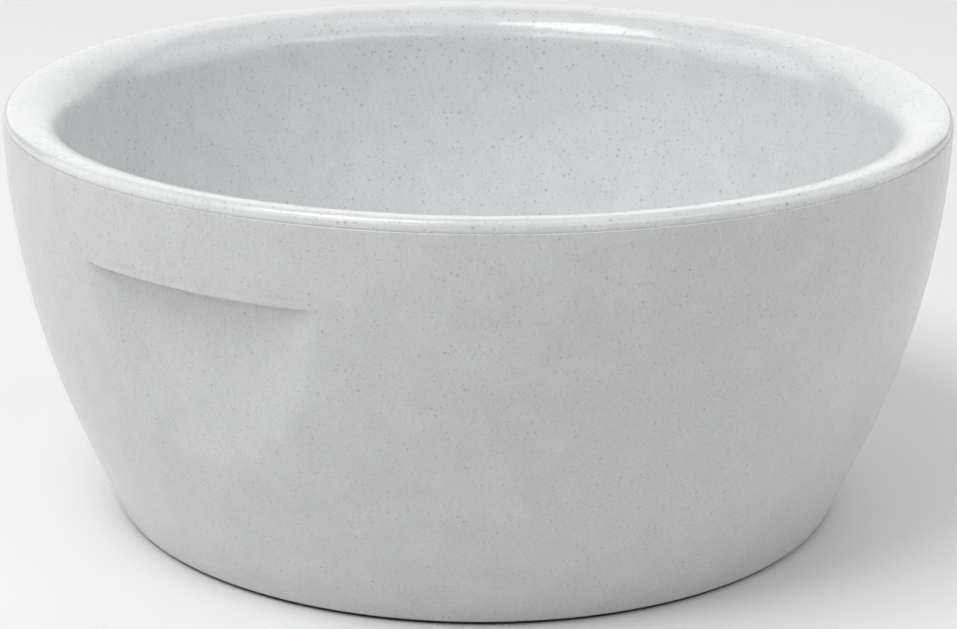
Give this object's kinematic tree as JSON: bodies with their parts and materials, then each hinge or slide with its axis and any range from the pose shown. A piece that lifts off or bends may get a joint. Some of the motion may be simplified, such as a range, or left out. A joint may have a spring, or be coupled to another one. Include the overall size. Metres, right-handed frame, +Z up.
{
  "type": "shaving bowl",
  "caption": "Round stoneware lather bowl with a thick rounded lip, a thumb recess in its wall and a non-slip ring under the foot.",
  "frame": {"origin": "centre of the flat face that the bowl rests on, on the table", "axes": "+Z up along the bowl's turning axis; -Y to the front; the thumb recess faces 33 degrees to the left of the front"},
  "size_m": [0.127, 0.127, 0.0558],
  "materials": {
    "bare_stoneware": "matt, unglazed, fine grained",
    "inner_glaze": "gloss, slightly pebbled, with dark iron specks",
    "outer_glaze": "satin gloss, with fine dark specks",
    "black_silicone": "matt"
  },
  "bodies": {
    "root": {"stoneware_body": "bare_stoneware", "inner_glaze": "inner_glaze", "outer_glaze": "outer_glaze", "well_glaze": "outer_glaze", "non_slip_ring": "black_silicone"}
  },
  "joints": []
}
